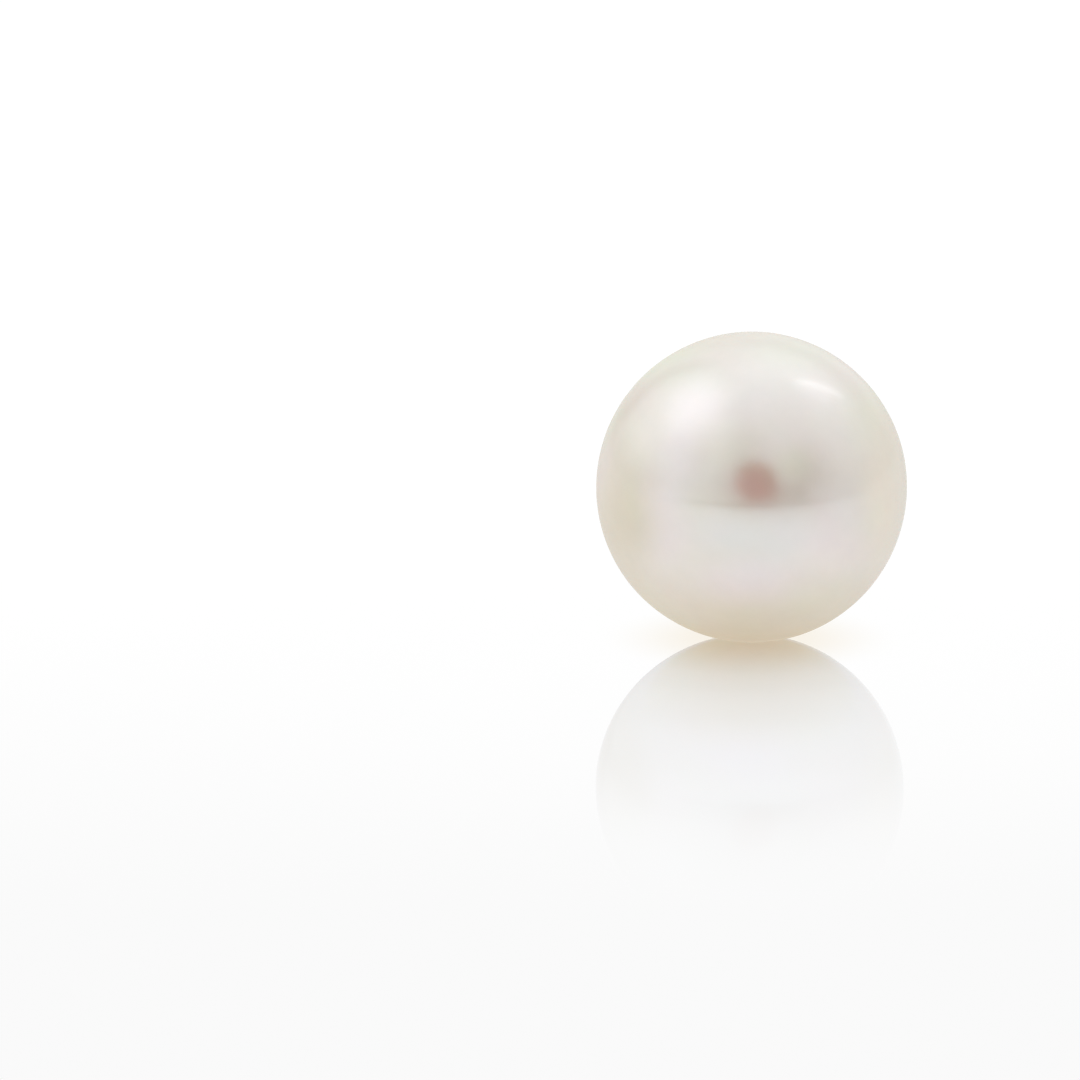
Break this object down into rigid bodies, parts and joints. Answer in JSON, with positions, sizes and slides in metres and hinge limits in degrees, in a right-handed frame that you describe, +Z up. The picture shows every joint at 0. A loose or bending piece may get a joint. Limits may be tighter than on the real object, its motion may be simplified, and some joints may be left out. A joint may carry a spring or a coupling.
{
  "type": "pearl stud earring",
  "caption": "Stud earring: a round pearl on a metal cup with a straight ear post, lying on a surface on the pearl and the post's tip, without a clutch.",
  "frame": {"origin": "on the surface that the stud lies on, at the middle of its bounding box seen from above", "axes": "+Z up from the surface; -Y the way the pearl's face looks; +Y from the pearl towards the post's tip, which slopes down to the surface; X across"},
  "size_m": [0.008, 0.018, 0.008],
  "materials": {
    "nacre": "gloss",
    "yellow_gold": "gloss"
  },
  "bodies": {
    "root": {"pearl": "nacre", "ear_post": "yellow_gold"}
  },
  "joints": []
}
